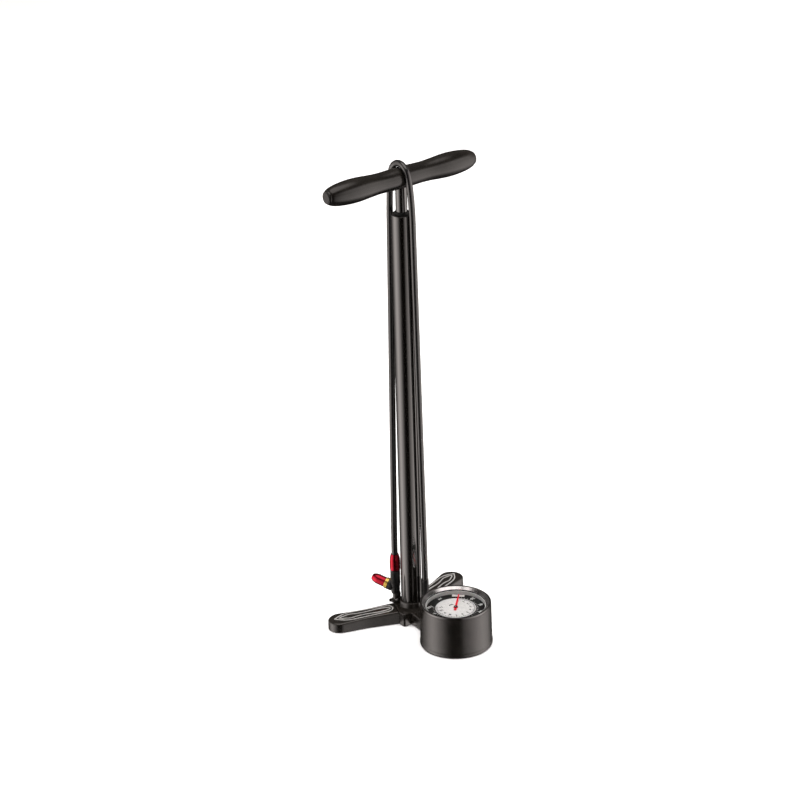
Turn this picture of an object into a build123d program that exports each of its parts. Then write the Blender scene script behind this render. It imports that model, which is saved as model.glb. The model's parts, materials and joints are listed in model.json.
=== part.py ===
from build123d import *

import os
from math import atan2, cos, degrees, pi, radians, sin, sqrt, tan

# Floor bicycle pump, in millimetres. +Z is up, the handle lies along X, the gauge is
# toward -Y and the origin is on the floor under the barrel's axis.

os.makedirs("parts", exist_ok=True)

RUN = 0.05    # radial clearance of a shaft or a seal in its bore
GAP = 0.3     # clearance between pieces that only pass each other

# Barrel, its cap and the piston
BARREL_R = 14.1
BORE_R = 12.5
BARREL_FOOT_Z = 13.5
# Barrel, its cap and the piston
BARREL_R = 14.1
BORE_R = 12.5
BARREL_FOOT_Z = 13.5
BARREL_TOP_Z = 586.8
CAP_FLANGE = 2.0
CAP_DEPTH = 24.0
CAP_BORE_R = 9.0
BUSH_R = 9.3
BUSH_RISE = 3.6
ROD_R = 7.7
ROD_BORE_R = 6.0
PISTON_Z = 17.0
PISTON_LENGTH = 26.0
SEAL_Z = 24.0
SEAL_LENGTH = 5.0
PLUG_BORE_R = 2.6
ROD_SEAT = 8.0          # depth of the rod's seat in the piston head

# Handle
HANDLE_Z = 635.9
HANDLE_HALF = 118.6
HANDLE_HUB_R = 14.4
HANDLE_WAIST = (38.0, 13.6)      # x and radius
HANDLE_GRIP = (75.0, 15.9)
HANDLE_SHOULDER = (99.5, 14.4)
HANDLE_NECK = (111.0, 12.0)
HANDLE_EDGE = (116.1, 9.2)
HANDLE_PLUG_R = 7.8
BOLT_HEAD_R = 6.0
BOLT_SINK = 3.4

# Base casting: a hub, two legs swept back and an arm to the gauge
FLOOR_GAP = 1.2
HUB_TOP_Z = 19.0
HUB_HALF = 29.3
HUB_FRONT_Y = -21.3
HUB_BACK_R = 26.3
SOCKET_FOOT_R = 17.4
SOCKET_TOP_R = 15.7
SOCKET_TOP_Z = 25.8
SOCKET_FLOOR_Z = 12.0
LEG_START_Y = -4.5      # where the centre lines of the two legs meet
LEG_SWEEP = 22.0
LEG_FLAT = 24.8         # from there along a leg to its seam with the hub
LEG_SEAM_HALF = 16.6
LEG_END = 104.4
LEG_END_R = 16.5
LEG_ROOT_HALF = 15.2
LEG_TOP_ROOT_Z = 18.6
LEG_TOP_END_Z = 14.4
ARM_FLAT = 25.8
ARM_HALF = 18.0
ARM_END_Y = -55.6
ARM_END_HALF = 23.4
ARM_TOP_Z = 18.6
ARM_TOP_END_Z = 17.8
AIR_Z = 7.8

# Gauge
GAUGE_Y = -97.7
DRUM_LIP_R = 49.1
DRUM_FOOT_R = 48.5
DRUM_TOP_R = 47.9
DRUM_BORE_R = 45.3
DRUM_FLOOR = 3.0
DRUM_TOP_Z = 58.0
BEZEL_TOP_Z = 61.0
BEZEL_R = 47.6
BEZEL_BORE_R = 40.6
BEZEL_SEAT_R = 46.8
BEZEL_SEAT_Z = 53.4
POCKET_R = 45.4
LENS_Z = 55.6
LENS_THICK = 1.6
LENS_R = 43.0
TRIM_BORE_R = 41.2
DIAL_Z = 49.4
DIAL_THICK = 1.0
DIAL_R = 40.45
DIAL_CENTRE_R = 27.3
ZERO_ANGLE = 45.0       # of the needle from +X at rest
PINION_R = 1.85
SECTOR_R = 15.85
GEAR_DISTANCE = 18.0
GEAR_Z = 38.0

# Hose, chuck and the places they leave from
HOSE_R = 4.3
STUB_X, STUB_Y = 9.4, -19.0
FERRULE_R = 5.0
FERRULE_Z = 38.0
FERRULE_TOP_Z = 61.0
CHUCK_X, CHUCK_Y = -12.5, 19.2
CHUCK_Z = 32.0
CHUCK_R = 6.0
COLLAR_Z = 46.0
COLLAR_R = 6.8
SLEEVE_Z = 68.0
SLEEVE_TOP_Z = 91.5
SLEEVE_R = 7.3
DOCK_X, DOCK_Y = -11.4, 18.4
DOCK_R = 5.4
NOZZLE_Z = 40.7
NOZZLE_TURN = 113.0     # direction of the nozzle from +X
NOZZLE_RISE = 12.0      # and upward


def hand_in(builder, name):
    builder.part.label = name
    export_step(builder.part, f"parts/{name}.step")
    print(name, "volume", round(builder.part.volume, 1))


def ring(outer, inner, low, high):
    """A plain tube or washer on the current plane's axis."""
    with BuildSketch(Plane.XY.offset(low)) as section:
        Circle(outer)
        Circle(inner, mode=Mode.SUBTRACT)
    extrude(section.sketch, amount=high - low)


def rim(part, z, radius):
    """The circular edges of that radius at height z."""
    near = part.edges().filter_by(GeomType.CIRCLE)
    return near.filter_by(lambda e: abs(e.radius - radius) < 0.02
                          and abs(e.center().Z - z) < 0.02)


def heading(angle, x=0.0, y=0.0, z=0.0):
    """Upright plane frame at a point: local X points along the angle, local Z is up."""
    return Plane(origin=(x, y, z), x_dir=(cos(radians(angle)), sin(radians(angle)), 0),
                 z_dir=(0, 0, 1))


def side_view(x=0.0, y=0.0, z=0.0):
    """Upright plane facing -Y through a point: local X is level, local Y is up."""
    return Plane(origin=(x, y, z), x_dir=(1, 0, 0), z_dir=(0, -1, 0))


def looking(angle, x=0.0, y=0.0, z=0.0):
    """Plane whose normal points level along the angle, its local Y up."""
    across = (-sin(radians(angle)), cos(radians(angle)), 0)
    return Plane(origin=(x, y, z), x_dir=across,
                 z_dir=(cos(radians(angle)), sin(radians(angle)), 0))


# ---------------------------------------------------------------- barrel and its top

with BuildPart() as barrel:
    ring(BARREL_R, BORE_R, BARREL_FOOT_Z, BARREL_TOP_Z - CAP_FLANGE)
hand_in(barrel, "barrel")

with BuildPart() as barrel_seal:
    ring(BARREL_R - 0.1, BORE_R - 0.2, SOCKET_FLOOR_Z, BARREL_FOOT_Z)
hand_in(barrel_seal, "barrel_seal")

CAP_FOOT_Z = BARREL_TOP_Z - CAP_DEPTH
with BuildPart() as barrel_cap:
    ring(BORE_R - RUN, CAP_BORE_R, CAP_FOOT_Z, BARREL_TOP_Z - CAP_FLANGE)
    ring(BARREL_R, CAP_BORE_R, BARREL_TOP_Z - CAP_FLANGE, BARREL_TOP_Z)
    fillet(rim(barrel_cap, BARREL_TOP_Z, BARREL_R), radius=0.8)
hand_in(barrel_cap, "barrel_cap")

with BuildPart() as rod_bush:
    ring(CAP_BORE_R - RUN, ROD_R + RUN, CAP_FOOT_Z + 1, BARREL_TOP_Z)
    ring(BUSH_R, ROD_R + RUN, BARREL_TOP_Z, BARREL_TOP_Z + BUSH_RISE)
    fillet(rim(rod_bush, BARREL_TOP_Z + BUSH_RISE, BUSH_R), radius=0.5)
hand_in(rod_bush, "rod_bush")

# ---------------------------------------------------------------- piston group

PISTON_TOP_Z = PISTON_Z + PISTON_LENGTH
ROD_FOOT_Z = PISTON_TOP_Z - ROD_SEAT
SEAL_GROOVE_R = 9.5
SCREW_HEAD = 3.0
BUMPER_R = 11.5
BUMPER_TOP_Z = PISTON_TOP_Z + 8
with BuildPart() as piston_head:
    ring(BORE_R - GAP, PLUG_BORE_R, PISTON_Z, PISTON_TOP_Z)
    with BuildSketch(Plane.XY.offset(SEAL_Z)):
        Circle(BORE_R)
        Circle(SEAL_GROOVE_R, mode=Mode.SUBTRACT)
    extrude(amount=SEAL_LENGTH, mode=Mode.SUBTRACT)
    with BuildSketch(Plane.XY.offset(ROD_FOOT_Z)):
        Circle(ROD_R + RUN)
    extrude(amount=ROD_SEAT, mode=Mode.SUBTRACT)
    with BuildSketch(Plane.XY.offset(PISTON_Z)):
        Circle(5.6)
    extrude(amount=SCREW_HEAD, mode=Mode.SUBTRACT)
hand_in(piston_head, "piston_head")

SEAL_R = BORE_R - RUN
SEAL_BODY_R = 11.6
SEAL_FOOT_Z = SEAL_Z + 0.1
SEAL_TOP_Z = SEAL_Z + SEAL_LENGTH - 0.1
with BuildPart() as piston_seal:
    with BuildSketch(Plane.XZ):
        Polygon((SEAL_GROOVE_R + RUN, SEAL_FOOT_Z), (SEAL_BODY_R, SEAL_FOOT_Z),
                (SEAL_R, SEAL_Z + 1.6), (SEAL_R, SEAL_Z + 3.6),
                (SEAL_BODY_R, SEAL_TOP_Z), (SEAL_GROOVE_R + RUN, SEAL_TOP_Z), align=None)
    revolve(axis=Axis.Z)
hand_in(piston_seal, "piston_seal")

with BuildPart() as piston_screw:
    with BuildSketch(Plane.XY.offset(PISTON_Z + 0.4)):
        RegularPolygon(radius=5.0, side_count=6)
    extrude(amount=SCREW_HEAD - 0.4)
    with BuildSketch(Plane.XY.offset(PISTON_Z + SCREW_HEAD)):
        Circle(PLUG_BORE_R - RUN)
    extrude(amount=PISTON_LENGTH + 1)
hand_in(piston_screw, "piston_screw")

with BuildPart() as rod_foot_plug:
    ring(ROD_BORE_R - RUN, PLUG_BORE_R, ROD_FOOT_Z, PISTON_TOP_Z + 8)
hand_in(rod_foot_plug, "rod_foot_plug")

with BuildPart() as piston_bumper:
    ring(BUMPER_R, ROD_R + RUN, PISTON_TOP_Z, BUMPER_TOP_Z)
    fillet(rim(piston_bumper, BUMPER_TOP_Z, BUMPER_R), radius=2)
hand_in(piston_bumper, "piston_bumper")

ROD_TOP_Z = HANDLE_Z + 4
with BuildPart() as piston_rod:
    ring(ROD_R, ROD_BORE_R, ROD_FOOT_Z, ROD_TOP_Z)
hand_in(piston_rod, "piston_rod")

with BuildPart() as rod_top_plug:
    ring(ROD_BORE_R - RUN, PLUG_BORE_R, ROD_TOP_Z - 22, ROD_TOP_Z)
hand_in(rod_top_plug, "rod_top_plug")

# ---------------------------------------------------------------- handle

HANDLE_TOP_Z = HANDLE_Z + HANDLE_HUB_R
BOLT_SEAT_Z = HANDLE_TOP_Z - BOLT_SINK
HANDLE_AXIS = Axis((0, 0, HANDLE_Z), (1, 0, 0))
HANDLE_CORNER = (HANDLE_HALF - 0.75, 8.6)
with BuildPart() as handle:
    with BuildSketch(side_view(z=HANDLE_Z)):
        with BuildLine():
            Spline((0, HANDLE_HUB_R), HANDLE_WAIST, HANDLE_GRIP, HANDLE_SHOULDER,
                   HANDLE_NECK, HANDLE_EDGE, tangents=[(1, 0), (0.75, -1)])
            ThreePointArc(HANDLE_EDGE, HANDLE_CORNER, (HANDLE_HALF, HANDLE_PLUG_R))
            Polyline((HANDLE_HALF, HANDLE_PLUG_R), (HANDLE_HALF, 0), (0, 0), (0, HANDLE_HUB_R))
        make_face()
    revolve(axis=HANDLE_AXIS)
    mirror(about=Plane.YZ)
    with BuildSketch(Plane.XY.offset(HANDLE_Z - 20)):
        Circle(ROD_R + RUN)
    extrude(amount=ROD_TOP_Z - HANDLE_Z + 20, mode=Mode.SUBTRACT)
    with BuildSketch(Plane.XY.offset(HANDLE_Z)):
        Circle(PLUG_BORE_R + 0.2)
    extrude(amount=20, mode=Mode.SUBTRACT)
    with BuildSketch(Plane.XY.offset(BOLT_SEAT_Z)):
        Circle(BOLT_HEAD_R + 0.15)
    extrude(amount=8, mode=Mode.SUBTRACT)
    for side in (-1, 1):
        with BuildSketch(Plane.YZ.offset(side * HANDLE_HALF)):
            with Locations((0, HANDLE_Z)):
                Circle(HANDLE_PLUG_R - 0.9)
        extrude(amount=-side * 3, mode=Mode.SUBTRACT)
hand_in(handle, "handle")

with BuildPart() as handle_bolt:
    with BuildSketch(Plane.XY.offset(BOLT_SEAT_Z)):
        Circle(BOLT_HEAD_R)
    extrude(amount=2.6)
    fillet(rim(handle_bolt, BOLT_SEAT_Z + 2.6, BOLT_HEAD_R), radius=0.7)
    with BuildSketch(Plane.XY.offset(BOLT_SEAT_Z)):
        Circle(PLUG_BORE_R - 0.1)
    extrude(amount=-26)
    with BuildSketch(Plane.XY.offset(BOLT_SEAT_Z + 0.6)):
        RegularPolygon(radius=2.9, side_count=6)
    extrude(amount=4, mode=Mode.SUBTRACT)
hand_in(handle_bolt, "handle_bolt")

with BuildPart() as handle_end_plugs:
    for side in (-1, 1):
        with BuildSketch(Plane.YZ.offset(side * (HANDLE_HALF + 0.5))):
            with Locations((0, HANDLE_Z)):
                Circle(HANDLE_PLUG_R - 1.0)
        extrude(amount=-side * 3.4)
hand_in(handle_end_plugs, "handle_end_plugs")

# ---------------------------------------------------------------- base casting

LEG_TURNS = (LEG_SWEEP, 180 - LEG_SWEEP)


def leg_frame(turn, s=0.0, z=0.0):
    """Level frame on a leg's centre line: local X runs outward along the leg."""
    return heading(turn, s * cos(radians(turn)), LEG_START_Y + s * sin(radians(turn)), z)


def leg_seam(turn):
    """Upright plane of the seam between a leg and the hub, facing outward."""
    foot = leg_frame(turn, LEG_FLAT, 8.0).origin
    return looking(turn, *foot)


def socket_section(grow):
    """Half section of the barrel's conical socket, to revolve about the barrel's axis."""
    with BuildSketch(Plane.XZ) as half:
        Polygon((0, HUB_TOP_Z - 3), (SOCKET_FOOT_R + grow, HUB_TOP_Z - 3),
                (SOCKET_FOOT_R + grow, HUB_TOP_Z), (SOCKET_TOP_R + grow, SOCKET_TOP_Z),
                (0, SOCKET_TOP_Z), align=None)
    return half.sketch


def air_way(plane, length, *places, radius=1.6):
    """Drill a round passage from the plane, at each place on it."""
    with BuildSketch(plane) as mouth:
        with Locations(*places):
            Circle(radius)
    extrude(mouth.sketch, amount=length, mode=Mode.SUBTRACT)


SPIGOT_R = 2.5
SPIGOT_Z = HUB_TOP_Z - 5
VALVE_BORE_R = 3.4
HUB_PAD_R = 10.0
seam_across = leg_frame(LEG_SWEEP, LEG_FLAT)
SEAM_NEAR = seam_across.origin - seam_across.y_dir * LEG_SEAM_HALF
SEAM_FAR = seam_across.origin + seam_across.y_dir * LEG_SEAM_HALF
HUB_BACK = (HUB_BACK_R * cos(radians(70)), HUB_BACK_R * sin(radians(70)))
with BuildPart() as base_hub:
    with BuildSketch(Plane.XY.offset(FLOOR_GAP)):
        with BuildLine():
            Polyline((0, -ARM_FLAT), (ARM_HALF, -ARM_FLAT), (ARM_HALF, HUB_FRONT_Y),
                     (HUB_HALF - 2, HUB_FRONT_Y), (HUB_HALF, HUB_FRONT_Y + 2),
                     (SEAM_NEAR.X, SEAM_NEAR.Y), (SEAM_FAR.X, SEAM_FAR.Y))
            ThreePointArc((SEAM_FAR.X, SEAM_FAR.Y), HUB_BACK, (0, HUB_BACK_R))
            mirror(about=Plane.YZ)
        make_face()
    extrude(amount=HUB_TOP_Z - FLOOR_GAP)
    fillet(base_hub.faces().sort_by(Axis.Z)[-1].edges(), radius=1.2)
    revolve(socket_section(0), axis=Axis.Z)
    fillet(rim(base_hub, SOCKET_TOP_Z, SOCKET_TOP_R), radius=0.8)
    with BuildSketch(Plane.XY.offset(SOCKET_FLOOR_Z)):
        Circle(BARREL_R + RUN)
    extrude(amount=20, mode=Mode.SUBTRACT)
    # air way: down from the barrel, out along -Y through the valve chamber, up to the hose
    air_way(Plane.XY.offset(AIR_Z), SOCKET_FLOOR_Z - AIR_Z, (0, 0))
    air_way(Plane.XZ, 10, (0, AIR_Z))
    air_way(Plane.XZ.offset(8), ARM_FLAT - 8, (0, AIR_Z), radius=VALVE_BORE_R)
    air_way(Plane.YZ, STUB_X, (STUB_Y, AIR_Z), radius=1.5)
    air_way(Plane.XY.offset(AIR_Z), HUB_TOP_Z - AIR_Z, (STUB_X, STUB_Y), radius=1.5)
    air_way(Plane.XY.offset(SPIGOT_Z), 8, (STUB_X, STUB_Y), (CHUCK_X, CHUCK_Y),
            radius=SPIGOT_R + RUN)
    air_way(Plane.XY, 2.4, (0, 0), radius=HUB_PAD_R + 0.1)
hand_in(base_hub, "base_hub")

with BuildPart() as hub_pad:
    with BuildSketch():
        Circle(HUB_PAD_R)
    extrude(amount=2.4)
    fillet(hub_pad.faces().sort_by(Axis.Z)[0].edges(), radius=0.4)
hand_in(hub_pad, "hub_pad")

LEG_ARC_TURN = 95.0     # where the round end meets the side, from the leg's direction
LEG_SLOPE = (LEG_TOP_ROOT_Z - LEG_TOP_END_Z) / (LEG_END - LEG_FLAT)
RIB_HEIGHT = 0.8
LEG_PAD_R = 10.0
LEG_PAD_Z = FLOOR_GAP + 1.6
LEG_BOLT_R = 2.0
LEG_BOLT_ACROSS = ((-8, 0), (8, 0))


def leg_outline(plane):
    """Plan of a leg along local X: a shallow waist that swells into a round end."""
    arc_x = LEG_END + LEG_END_R * cos(radians(LEG_ARC_TURN))
    arc_y = LEG_END_R * sin(radians(LEG_ARC_TURN))
    with BuildSketch(plane) as outline:
        with BuildLine():
            side = Spline((LEG_FLAT, LEG_ROOT_HALF), (50, 14.3), (70, 14.0), (90, 15.4),
                          (arc_x, arc_y), tangents=[(1, -0.05), (1, 0.087)])
            Line((LEG_FLAT, LEG_ROOT_HALF), (LEG_FLAT, -LEG_ROOT_HALF))
            ThreePointArc((arc_x, arc_y), (LEG_END + LEG_END_R, 0), (arc_x, -arc_y))
            mirror(side, about=Plane.XZ)
        make_face()
    return outline.sketch


def leg_top(s):
    return LEG_TOP_ROOT_Z - LEG_SLOPE * (s - LEG_FLAT)


def blade(plane, *points):
    """Broad blade of straight cuts along local X: points along one side."""
    with BuildSketch(plane) as outline:
        with BuildLine():
            side = Polyline(*points)
            mirror(side, about=Plane.XZ)
        make_face()
    return outline.sketch


def leaf(plane, *points):
    """Long leaf along local X, pointed at its far end: points along one side."""
    with BuildSketch(plane) as outline:
        with BuildLine():
            side = Spline(*points, tangents=[(0.3, 1), (1, -0.8)])
            mirror(side, about=Plane.XZ)
        make_face()
    return outline.sketch


for hand, turn in zip(("right", "left"), LEG_TURNS):
    at = leg_frame(turn)
    upright = Plane(origin=at.origin, x_dir=at.x_dir, z_dir=-at.y_dir)
    with BuildPart() as leg:
        extrude(leg_outline(leg_frame(turn, z=FLOOR_GAP)), amount=20)
        with BuildSketch(upright):
            Polygon((0, leg_top(0)), (140, leg_top(140)), (140, 60), (0, 60), align=None)
        extrude(amount=40, both=True, mode=Mode.SUBTRACT)
        fillet(leg.faces().sort_by(Axis.Z)[-1].edges(), radius=2.8)
        with BuildSketch(leg_frame(turn, LEG_END)):
            Circle(LEG_PAD_R + 0.1)
        extrude(amount=LEG_PAD_Z, mode=Mode.SUBTRACT)
        with BuildSketch(leg_seam(turn)):
            with Locations(*LEG_BOLT_ACROSS):
                Circle(LEG_BOLT_R + 0.1)
        extrude(amount=9, mode=Mode.SUBTRACT)
    hand_in(leg, f"{hand}_leg")

    # two raised outlines on the leg's top, a narrow leaf inside a broad blade
    with BuildPart() as rib:
        crest = Plane(origin=leg_frame(turn, LEG_FLAT, LEG_TOP_ROOT_Z).origin,
                      x_dir=at.x_dir - Vector(0, 0, LEG_SLOPE),
                      z_dir=Vector(0, 0, 1) + at.x_dir * LEG_SLOPE)
        broad = blade(crest, (4, 0), (6.5, 6.0), (12, 9.0), (26, 9.9), (40, 10.2), (54, 10.8),
                      (66, 10.8), (74, 9.3), (81, 5.6), (88.5, 0))
        broad -= blade(crest, (5.8, 0), (7.9, 5.2), (13, 7.6), (26, 8.5), (40, 8.8),
                       (54, 9.4), (65.5, 9.4), (73, 8.0), (79.6, 4.6), (86, 0))
        narrow = leaf(crest, (8, 0), (12, 3.6), (40, 4.2), (56, 4.4), (68, 5.6), (76, 3.4),
                      (82, 0))
        narrow -= leaf(crest, (9.6, 0), (13, 2.2), (40, 2.8), (56, 3.0), (68, 4.2), (75, 2.2),
                       (79.4, 0))
        extrude(broad, amount=RIB_HEIGHT)
        extrude(narrow, amount=RIB_HEIGHT)
    hand_in(rib, f"{hand}_leg_rib")

with BuildPart() as leg_pads:
    for turn in LEG_TURNS:
        with BuildSketch(leg_frame(turn, LEG_END)):
            Circle(LEG_PAD_R)
        extrude(amount=LEG_PAD_Z)
    fillet(leg_pads.faces().filter_by(lambda f: f.center().Z < 0.01).edges(), radius=0.4)
hand_in(leg_pads, "leg_pads")

with BuildPart() as leg_bolts:
    for turn in LEG_TURNS:
        with BuildSketch(leg_seam(turn)):
            with Locations(*LEG_BOLT_ACROSS):
                Circle(LEG_BOLT_R)
        extrude(amount=8.5)
hand_in(leg_bolts, "leg_bolts")

# ---------------------------------------------------------------- arm and gauge housing

GAUGE_AXIS = Axis((0, GAUGE_Y, 0), (0, 0, 1))
GAUGE_SIDE = Plane.XZ.offset(-GAUGE_Y)


def drum_section(grow):
    """Half section of the drum's outside: a lip at the foot, then a slight taper."""
    with BuildSketch(GAUGE_SIDE) as half:
        Polygon((0, FLOOR_GAP), (DRUM_LIP_R + grow, FLOOR_GAP), (DRUM_LIP_R + grow, 5.2),
                (DRUM_FOOT_R + grow, 6.8), (DRUM_FOOT_R + grow, 14),
                (DRUM_TOP_R + grow, DRUM_TOP_Z), (0, DRUM_TOP_Z), align=None)
    return half.sketch


def around_gauge(low, outer, inner=0.0):
    """Disc or washer about the gauge's axis, on the level plane at that height."""
    with BuildSketch(Plane.XY.offset(low)) as washer:
        with Locations((0, GAUGE_Y)):
            Circle(outer)
            if inner:
                Circle(inner, mode=Mode.SUBTRACT)
    return washer.sketch


def posts(radius, low):
    """Round posts that carry the gauge's movement."""
    with BuildSketch(Plane.XY.offset(low)) as spots:
        with Locations((0, GAUGE_Y)):
            with PolarLocations(18, 3, start_angle=90):
                Circle(radius)
    return spots.sketch


ARM_FOOT_Z = FLOOR_GAP + 0.6
INLET_R = 3.5
INLET_Y = -ARM_FLAT - 16.5
with BuildPart() as gauge_arm:
    with BuildSketch(Plane.YZ.offset(-30)):
        with BuildLine():
            Polyline((-ARM_FLAT, ARM_FOOT_Z), (-ARM_FLAT, ARM_TOP_Z), (ARM_END_Y, ARM_TOP_END_Z),
                     (ARM_END_Y, ARM_FOOT_Z), (-49, ARM_FOOT_Z))
            ThreePointArc((-49, ARM_FOOT_Z), (-37, ARM_FOOT_Z + 2), (-ARM_FLAT, ARM_FOOT_Z))
        make_face()
    extrude(amount=60)
    with BuildSketch(Plane.XY):
        with BuildLine():
            flare = Spline((ARM_HALF, -ARM_FLAT), (18.2, -32), (19.9, -42.2),
                           (ARM_END_HALF, ARM_END_Y), tangents=[(0, -1), (0.5, -1)])
            mirror(flare, about=Plane.YZ)
            Line((ARM_HALF, -ARM_FLAT), (-ARM_HALF, -ARM_FLAT))
            Line((ARM_END_HALF, ARM_END_Y), (-ARM_END_HALF, ARM_END_Y))
        make_face()
    extrude(amount=30, mode=Mode.INTERSECT)
    revolve(drum_section(RUN), axis=GAUGE_AXIS, mode=Mode.SUBTRACT)
    top_edges = gauge_arm.faces().sort_by(Axis.Z)[-1].edges()
    fillet(top_edges.filter_by(lambda e: abs(e.center().X) > 5), radius=1.8)
    air_way(Plane.XZ.offset(ARM_FLAT), 30, (0, AIR_Z))
    air_way(Plane.XZ.offset(-INLET_Y - 0.5), 20, (0, AIR_Z), radius=INLET_R + 0.1)
hand_in(gauge_arm, "gauge_arm")

with BuildPart() as gauge_housing:
    revolve(drum_section(0), axis=GAUGE_AXIS)
    foot_edge = gauge_housing.edges().filter_by(GeomType.CIRCLE).sort_by(Axis.Z)[0]
    fillet(foot_edge, radius=1.2)
    extrude(around_gauge(FLOOR_GAP + DRUM_FLOOR, DRUM_BORE_R), amount=60, mode=Mode.SUBTRACT)
    extrude(around_gauge(BEZEL_SEAT_Z, BEZEL_SEAT_R), amount=10, mode=Mode.SUBTRACT)
    air_way(Plane.XZ.offset(-GAUGE_Y - DRUM_FOOT_R - 4), 12, (0, AIR_Z), radius=INLET_R + 0.1)
    extrude(around_gauge(0, 42.1, 33.9), amount=FLOOR_GAP + 1.0, mode=Mode.SUBTRACT)
    extrude(posts(1.6, 0), amount=12, mode=Mode.SUBTRACT)
hand_in(gauge_housing, "gauge_housing")

with BuildPart() as gauge_foot_ring:
    extrude(around_gauge(0, 42.0, 34.0), amount=FLOOR_GAP + 1.0)
    fillet(gauge_foot_ring.faces().sort_by(Axis.Z)[0].edges(), radius=0.4)
hand_in(gauge_foot_ring, "gauge_foot_ring")

LENS_SEAT_Z = LENS_Z - RUN
LENS_TOP_Z = LENS_Z + LENS_THICK
BEZEL_BACK_Z = LENS_SEAT_Z - 1.4
BEZEL_FOOT_Z = BEZEL_SEAT_Z + RUN
with BuildPart() as gauge_bezel:
    with BuildSketch(GAUGE_SIDE):
        Polygon((BEZEL_BORE_R, BEZEL_BACK_Z), (BEZEL_BORE_R, LENS_SEAT_Z),
                (POCKET_R, LENS_SEAT_Z), (POCKET_R, BEZEL_TOP_Z - 0.5),
                (POCKET_R + 0.3, BEZEL_TOP_Z), (BEZEL_R - 0.4, BEZEL_TOP_Z),
                (BEZEL_R, BEZEL_TOP_Z - 0.4), (BEZEL_R, DRUM_TOP_Z + RUN),
                (BEZEL_SEAT_R - RUN, DRUM_TOP_Z + RUN), (BEZEL_SEAT_R - RUN, BEZEL_FOOT_Z),
                (BEZEL_SEAT_R - 3, BEZEL_FOOT_Z), (BEZEL_SEAT_R - 3, BEZEL_BACK_Z), align=None)
    revolve(axis=GAUGE_AXIS)
hand_in(gauge_bezel, "gauge_bezel")

# bright ring that slopes down from the bezel's rim and holds the lens
TRIM_R = POCKET_R - RUN
with BuildPart() as bezel_trim:
    with BuildSketch(GAUGE_SIDE):
        Polygon((TRIM_BORE_R, LENS_TOP_Z + RUN), (TRIM_BORE_R, LENS_TOP_Z + 0.6),
                (TRIM_R, BEZEL_TOP_Z - 0.6), (TRIM_R, LENS_Z), (LENS_R + 0.15, LENS_Z),
                (LENS_R + 0.15, LENS_TOP_Z + RUN), align=None)
    revolve(axis=GAUGE_AXIS)
hand_in(bezel_trim, "bezel_trim")

with BuildPart() as gauge_lens:
    extrude(around_gauge(LENS_Z, LENS_R), amount=LENS_THICK)
hand_in(gauge_lens, "gauge_lens")

# ---------------------------------------------------------------- inside the gauge

PIN_R = 1.0             # of the needle's shaft and the sector's pivot
DIAL_FACE_Z = DIAL_Z + DIAL_THICK
with BuildPart() as gauge_dial:
    extrude(around_gauge(DIAL_Z, DIAL_R, 1.6), amount=DIAL_THICK)
hand_in(gauge_dial, "gauge_dial")

with BuildPart() as gauge_dial_centre:
    extrude(around_gauge(DIAL_FACE_Z, DIAL_CENTRE_R, 1.6), amount=0.5)
hand_in(gauge_dial_centre, "gauge_dial_centre")

with BuildPart() as dial_ring:
    extrude(around_gauge(DIAL_FACE_Z + RUN, DIAL_R + RUN, DIAL_R - 0.75),
            amount=LENS_Z - 0.1 - DIAL_FACE_Z - RUN)
hand_in(dial_ring, "dial_ring")

PLATE_LOW_Z = 34.0
PLATE_HIGH_Z = 42.0
PLATE_THICK = 1.5
PLATE_R = 24.0
PIVOT_X = -GEAR_DISTANCE
PIN_FOOT_Z = PLATE_LOW_Z - 0.8
for name, low in (("movement_lower_plate", PLATE_LOW_Z), ("movement_upper_plate", PLATE_HIGH_Z)):
    with BuildPart() as plate:
        extrude(around_gauge(low, PLATE_R, PIN_R + RUN), amount=PLATE_THICK)
        extrude(posts(1.5, low), amount=PLATE_THICK, mode=Mode.SUBTRACT)
        with BuildSketch(Plane.XY.offset(low)):
            with Locations((PIVOT_X, GAUGE_Y)):
                Circle(PIN_R + RUN)
        extrude(amount=PLATE_THICK, mode=Mode.SUBTRACT)
    hand_in(plate, name)

with BuildPart() as movement_posts:
    for radius, low, high in ((2.4, FLOOR_GAP + DRUM_FLOOR, PLATE_LOW_Z),
                              (1.4, PLATE_LOW_Z, PLATE_LOW_Z + PLATE_THICK),
                              (2.0, PLATE_LOW_Z + PLATE_THICK, PLATE_HIGH_Z),
                              (1.4, PLATE_HIGH_Z, PLATE_HIGH_Z + PLATE_THICK),
                              (2.0, PLATE_HIGH_Z + PLATE_THICK, DIAL_Z)):
        extrude(posts(radius, low), amount=high - low)
hand_in(movement_posts, "movement_posts")

with BuildPart() as gauge_inlet:
    with BuildSketch(Plane.XZ.offset(-INLET_Y)):
        with Locations((0, AIR_Z)):
            Circle(INLET_R)
    extrude(amount=16.5)
    with BuildSketch(Plane.XY.offset(FLOOR_GAP + DRUM_FLOOR)):
        with Locations((0, -62)):
            Rectangle(12, 8)
    extrude(amount=20)
    air_way(Plane.XZ.offset(-INLET_Y), 20, (0, AIR_Z), radius=1.3)
hand_in(gauge_inlet, "gauge_inlet")

TUBE_R = 35.0
TUBE_Z = 20.5
TUBE_START = 79.6       # where it leaves the inlet block, from +X
TUBE_SWEEP = 245.0
tube_root = looking(TUBE_START - 90, 0, GAUGE_Y, TUBE_Z)
with BuildPart() as bourdon_tube:
    with BuildSketch(tube_root):
        with Locations((TUBE_R, 0)):
            RectangleRounded(2.6, 7.0, 1.0)
            RectangleRounded(1.6, 6.0, 0.6, mode=Mode.SUBTRACT)
    revolve(axis=GAUGE_AXIS, revolution_arc=-TUBE_SWEEP)
hand_in(bourdon_tube, "bourdon_tube")

GEAR_THICK = 1.6
TOOTH = 1.0


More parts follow.
